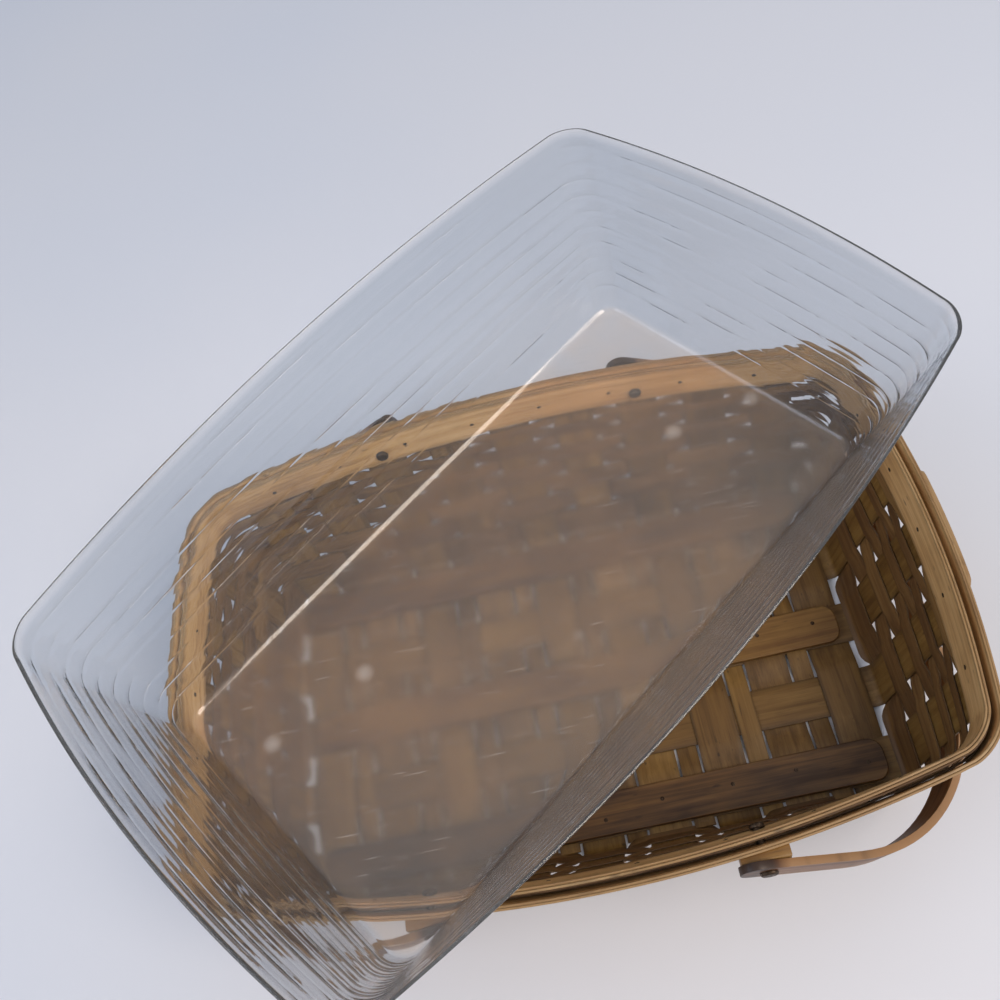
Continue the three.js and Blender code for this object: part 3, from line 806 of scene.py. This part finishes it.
bail = sheetPiece("bent_handle_right", steps=len(bentRoute) - 1, across=6, thickness=handles["thickness"],
                  length=handles["length"], width=handles["width"], place=handlePlace, ease=handles["ease"], tone=0)
tones = bail.data.attributes["tone"].data
edges = bail.data.attributes["rim"].data
for vertex, tone, edge in zip(bail.data.vertices, tones, edges):
    out = (vertex.co / mm - pivot).dot(outward)
    # the ears are coloured darker, and the painted highlight along the edges fades out on them
    tone.value = -handles["earDark"] * (1 - smooth(clamped((out + handles["earBehind"]) / handles["earFade"])))
    edge.value *= clamped(1 + tone.value / handles["earEdgeFade"])
otherBail = copied(bail, "bent_handle_left", Matrix.Rotation(math.pi, 4, "Z"))
otherGrain = Vector(grainShift())
for corner in otherBail.data.uv_layers[0].data:
    corner.uv += otherGrain
dressed(otherBail, handleWood, "handle_left", "handle_wood", "handle_left")
dressed(bail, handleWood, "handle_right", "handle_wood", "handle_right")
print("handles bent")

# pivot pins: one turned shank with a domed head at each end, its outer head to the front, copied to each pivot
pins = {
    "shank": 2.5, "shankShort": 1.5, "outerHead": 5.2, "outerDeep": 1.8, "innerHead": 4.4, "innerDeep": 2.8,
    "innerShort": 0.8, "dome": 1.5,
}
low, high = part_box("pivot_pin_right_front")
pinHalf = (high.y - low.y) / 2 / mm
innerEnd = pinHalf - pins["innerShort"]
parts = []
for radius, start, stop, crown in (
        (pins["shank"], pins["shankShort"] - pinHalf, pinHalf - pins["shankShort"], None),
        (pins["outerHead"], -pinHalf, pins["outerDeep"] - pinHalf, -pinHalf),
        (pins["innerHead"], innerEnd - pins["innerDeep"], innerEnd, innerEnd)):
    part = started(bpy.ops.mesh.primitive_cylinder_add, vertices=32, radius=radius * mm, depth=(stop - start) * mm,
                   location=(0, (start + stop) / 2 * mm, 0), rotation=(math.pi / 2, 0, 0))
    if crown is not None:
        picked(part, "EDGE", lambda points: max(abs(point.y - crown * mm) for point in points) < 1e-5)
        bpy.ops.mesh.bevel(offset=pins["dome"] * mm, segments=5, affect="EDGES")
        bpy.ops.object.mode_set(mode="OBJECT")
    parts.append(part)
turnedPin = joined(*parts)
smoothed(turnedPin, 50)
for end in ("left", "right"):
    for side, turn in (("front", 0), ("back", math.pi)):
        name = f"pivot_pin_{end}_{side}"
        low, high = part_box(name)
        place = Matrix.Translation((low + high) / 2) @ Matrix.Rotation(turn, 4, "Z")
        dressed(copied(turnedPin, "turned_" + name, place), pinSteel, "basket", "pin_metal", name)
removed(turnedPin)
print("pins turned")

# spacer blocks: one block cut to size, copied to each pivot, where its inner face is pressed to the band
blocks = {"cuts": 3, "bandOffset": 5.5, "ease": 0.7, "tone": 0.8}
low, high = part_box("pivot_block_right_front")
cutBlock = started(bpy.ops.mesh.primitive_cube_add, size=1, scale=high - low)
bpy.ops.object.mode_set(mode="EDIT")
bpy.ops.mesh.select_all(action="SELECT")
bpy.ops.mesh.subdivide(number_cuts=blocks["cuts"])
bpy.ops.object.mode_set(mode="OBJECT")
for end in ("left", "right"):
    for side, way in (("front", -1), ("back", 1)):
        name = f"pivot_block_{end}_{side}"
        low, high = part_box(name)
        block = copied(cutBlock, "cut_" + name, Matrix.Translation((low + high) / 2))
        outer = high.y if way > 0 else -low.y
        deep = high.y - low.y
        for vertex in block.data.vertices:
            inward = (outer - way * vertex.co.y) / deep
            band = wallPoint((0, abs(vertex.co.x / mm), None), blocks["bandOffset"], vertex.co.z / mm)
            vertex.co.y = way * (outer - inward * (outer + band.y * mm))
        applied(block, "BEVEL", width=blocks["ease"] * mm, segments=2, limit_method="ANGLE",
                angle_limit=math.radians(40))
        smoothed(block)
        gradeBoard(block, blocks["tone"])
        dressed(block, boardWood, "basket", "board_wood", name)
removed(cutBlock)
print("blocks cut")

# liner: one sheet from the middle of its base out, round a fillet and up the ribbed wall to its rim
tray = {
    "halfX": 244, "halfY": 164, "bowX": 13, "bowY": 21, "radius": 16, "depth": 136, "endFlare": 22, "sideFlare": 36,
    "wall": 1.5, "turn": 37.4, "shiftX": -8, "shiftY": 17, "rest": 147.3, "ease": 0.4,
    "girth": 1600, "slope": 300, "sideSteps": 40, "cornerFrom": 0.06, "cornerSpan": 0.88, "cornerSteps": 11,
    "baseShares": (0, 0.15, 0.3, 0.45, 0.6, 0.75, 0.88, 0.97), "fillet": 6, "filletSteps": 5,
    "ribs": 10, "ribDepth": 0.3, "ribsFrom": 12, "ribsBelow": 10,
    # places within a rib's pitch, each with its share of the rib's depth
    "ribShares": ((0.2, 0), (0.5, 0), (0.795, 0), (0.84, 1), (0.885, 0)),
    # ribs come and go round the wall: waves to a round, and the shares of the depth that they change
    "ribWaves": (5, 9, 15), "ribMean": 0.62, "ribBreaks": 0.6, "ribFlutter": 0.25, "ribLeast": 0.12,
    "upperRows": (7, 4, 0.7), "hazeFrom": 1.6, "hazeFade": 3.5, "lipBelow": 6, "lipFade": 4,
}


def trayOutline(z, inset):
    share = z / tray["depth"]
    return (
        tray["halfX"] - tray["bowX"] - tray["endFlare"] * (1 - share) - inset,
        tray["halfY"] - tray["bowY"] - tray["sideFlare"] * (1 - share) - inset,
        tray["bowX"] * share, tray["bowY"] * share, tray["radius"] - inset,
    )


trayRoute = []
for side in range(4):
    trayRoute += [(side, -1 + 2 * i / tray["sideSteps"], None) for i in range(tray["sideSteps"] + 1)]
    trayRoute += [(side, 0, tray["cornerFrom"] + tray["cornerSpan"] * i / tray["cornerSteps"])
                  for i in range(tray["cornerSteps"] + 1)]

# profile rows: (height, how far in from the outside, share of the way out over the base, rib and its depth)
skin = tray["wall"] / 2
profile = [(skin, skin + tray["fillet"], share, None) for share in tray["baseShares"]]
for i in range(tray["filletSteps"] + 1):
    angle = math.pi / 2 * i / tray["filletSteps"]
    rise, inset = (skin + tray["fillet"] * (1 - part) for part in (math.cos(angle), math.sin(angle)))
    profile.append((rise, inset, 1, None))
ribPitch = (tray["depth"] - tray["ribsFrom"] - tray["ribsBelow"]) / tray["ribs"]
for rib in range(tray["ribs"]):
    for share, depth in tray["ribShares"]:
        profile.append((tray["ribsFrom"] + ribPitch * (rib + share), skin, 1, (rib, depth)))
profile += [(tray["depth"] - below, skin, 1, None) for below in tray["upperRows"]]
ribStarts = [[chance.uniform(0, anyPhase) for i in range(3)] for rib in range(tray["ribs"])]
trayTurn = Matrix.Rotation(math.radians(tray["turn"]), 3, "Z")


def trayPlace(i, w):
    level, inset, share, rib = profile[round((w + 1) / 2 * (len(profile) - 1))]
    side, along, bend = trayRoute[i % len(trayRoute)]
    if rib:
        turn = 2 * math.pi * (i % len(trayRoute)) / len(trayRoute)
        a, b, c = (math.sin(waves * turn + start) for waves, start in zip(tray["ribWaves"], ribStarts[rib[0]]))
        broken = tray["ribMean"] + tray["ribBreaks"] * a * b + tray["ribFlutter"] * c
        inset = inset - tray["ribDepth"] * rib[1] * min(1, max(tray["ribLeast"], broken))
    outline = trayOutline(level, inset)
    reach = (outline[0] if side % 2 == 0 else outline[1]) - outline[4]
    point = offsetPoint(outline, (side, along * reach, bend), 0, level)
    point.x, point.y = point.x * share, point.y * share
    return trayTurn @ point + Vector((tray["shiftX"], tray["shiftY"], tray["rest"]))


liner = sheetPiece("moulded_liner", steps=len(trayRoute), across=len(profile) - 1, thickness=tray["wall"],
                   length=tray["girth"], width=tray["slope"], place=trayPlace, closed=True, ease=tray["ease"], tone=0)
rises = [vertex.co.z / mm - tray["rest"] for vertex in liner.data.vertices]
lipFrom = tray["depth"] - tray["lipBelow"]
marked(liner.data, "haze", [1 - smooth(clamped((rise - tray["hazeFrom"]) / tray["hazeFade"])) for rise in rises])
marked(liner.data, "lip", [smooth(clamped((rise - lipFrom) / tray["lipFade"])) for rise in rises])
dressed(liner, acrylic, "liner", "liner_plastic", "liner")
liner.visible_shadow = False  # clear acrylic lets the lamps' light through to the wood under it
print("liner moulded")

# stage: a pale floor that runs out into a pale room; both show as they are, and light the object more softly
stage = {
    "floorSize": 60, "floorLevel": -0.0004, "floorColours": ("#d9dde6", "#e2e2e6"), "floorRough": 0.9,
    "fadeFrom": 1.6, "fadeTo": 4.5, "roomColour": "#e4e6ea", "roomStrength": 0.72,
    "lightColour": "#dfe7f5", "lightStrength": 0.64, "washScale": 1.2, "lampAim": (0, 0, 0.1),
}


# 1 for the rays that show the background itself: from the camera, off a gloss or through something clear
def shownDirectly(tree):
    rays = node(tree, "ShaderNodeLightPath")
    direct = node(tree, "ShaderNodeMath", {"operation": "MAXIMUM"}, None,
                  {0: rays.outputs["Is Camera Ray"], 1: rays.outputs["Is Glossy Ray"]})
    shows = node(tree, "ShaderNodeMath", {"operation": "MAXIMUM"}, None,
                 {0: direct.outputs[0], 1: rays.outputs["Is Transmission Ray"]})
    return shows.outputs[0]


scene = bpy.context.scene
scene.world = bpy.data.worlds.new("softRoom")
scene.world.use_nodes = True
tree = scene.world.node_tree
roomLook = {"Color": linear(stage["roomColour"]), "Strength": stage["roomStrength"]}
background = tree.nodes["Background"]
background.inputs["Color"].default_value = linear(stage["lightColour"])
background.inputs["Strength"].default_value = stage["lightStrength"]
seen = node(tree, "ShaderNodeBackground", inputs=roomLook)
room = node(tree, "ShaderNodeMixShader", None, None,
            {0: shownDirectly(tree), 1: background.outputs[0], 2: seen.outputs[0]})
tree.links.new(room.outputs[0], tree.nodes["World Output"].inputs["Surface"])

# Matt floor paint: pale, with a faint wash of warmer and cooler patches
floorMade, tree, shader = newMaterial("mattFloorPaint")
where = node(tree, "ShaderNodeTexCoord").outputs["Object"]
wash = node(tree, "ShaderNodeTexNoise", inputs={"Scale": stage["washScale"], "Detail": 2},
            links={"Vector": where})
floorTone = node(tree, "ShaderNodeValToRGB", links={"Fac": wash.outputs["Fac"]},
                 stops=zip((0.3, 0.7), stage["floorColours"]))
tree.links.new(floorTone.outputs["Color"], shader.inputs["Base Color"])
shader.inputs["Roughness"].default_value = stage["floorRough"]
away = node(tree, "ShaderNodeVectorMath", {"operation": "LENGTH"}, None, {0: where})
fade = node(tree, "ShaderNodeMapRange", {"interpolation_type": "SMOOTHSTEP"},
            {"From Min": stage["fadeFrom"], "From Max": stage["fadeTo"], "To Min": 0.0, "To Max": 1.0},
            {"Value": away.outputs["Value"]})
far = node(tree, "ShaderNodeMath", {"operation": "MULTIPLY"}, None, {0: fade.outputs[0], 1: shownDirectly(tree)})
roomGlow = node(tree, "ShaderNodeEmission", inputs=roomLook)
ground = node(tree, "ShaderNodeMixShader", None, None,
              {0: far.outputs[0], 1: shader.outputs[0], 2: roomGlow.outputs[0]})
tree.links.new(ground.outputs[0], tree.nodes["Material Output"].inputs["Surface"])
floor = started(bpy.ops.mesh.primitive_plane_add, size=stage["floorSize"], location=(0, 0, stage["floorLevel"]))
floor.name = "floor"
floor.data.materials.append(floorMade)

lamps = {
    "windowLight": {"place": (1.1, -0.9, 1.7), "size": 1.2, "power": 28, "colour": "#fff0e0"},
    "skyFill": {"place": (-1.7, -0.5, 1.6), "size": 1.3, "power": 9, "colour": "#dfeaff"},
}
for name, lamp in lamps.items():
    bpy.ops.object.select_all(action="DESELECT")
    bpy.ops.object.light_add(type="AREA", location=lamp["place"])
    made = bpy.context.object
    made.name = name
    made.data.size = lamp["size"]
    made.data.energy = lamp["power"]
    made.data.color = linear(lamp["colour"])[:3]
    made.rotation_euler = (Vector(stage["lampAim"]) - Vector(lamp["place"])).to_track_quat("-Z", "Y").to_euler()

# camera at the photograph's viewing angle: its place in metres, the way it looks and the picture's right
view = {
    "place": (0.0523, -0.2693, 0.7264), "look": (-0.0959, 0.5187, -0.8495), "right": (0.9679, -0.1505, -0.2012),
    "lens": 36, "sensor": 36, "clipStart": 0.01,
}
bpy.ops.object.select_all(action="DESELECT")
bpy.ops.object.camera_add()
camera = bpy.context.object
camera.data.lens = view["lens"]
camera.data.sensor_width = view["sensor"]
camera.data.clip_start = view["clipStart"]
look = Vector(view["look"])
right = Vector(view["right"])
right = (right - look * right.dot(look)).normalized()
look.normalize()
turned = Matrix((right, right.cross(look), -look)).transposed()
camera.matrix_world = Matrix.Translation(view["place"]) @ turned.to_4x4()
scene.camera = camera
scene.view_settings.view_transform = "Standard"
print("stage lit")
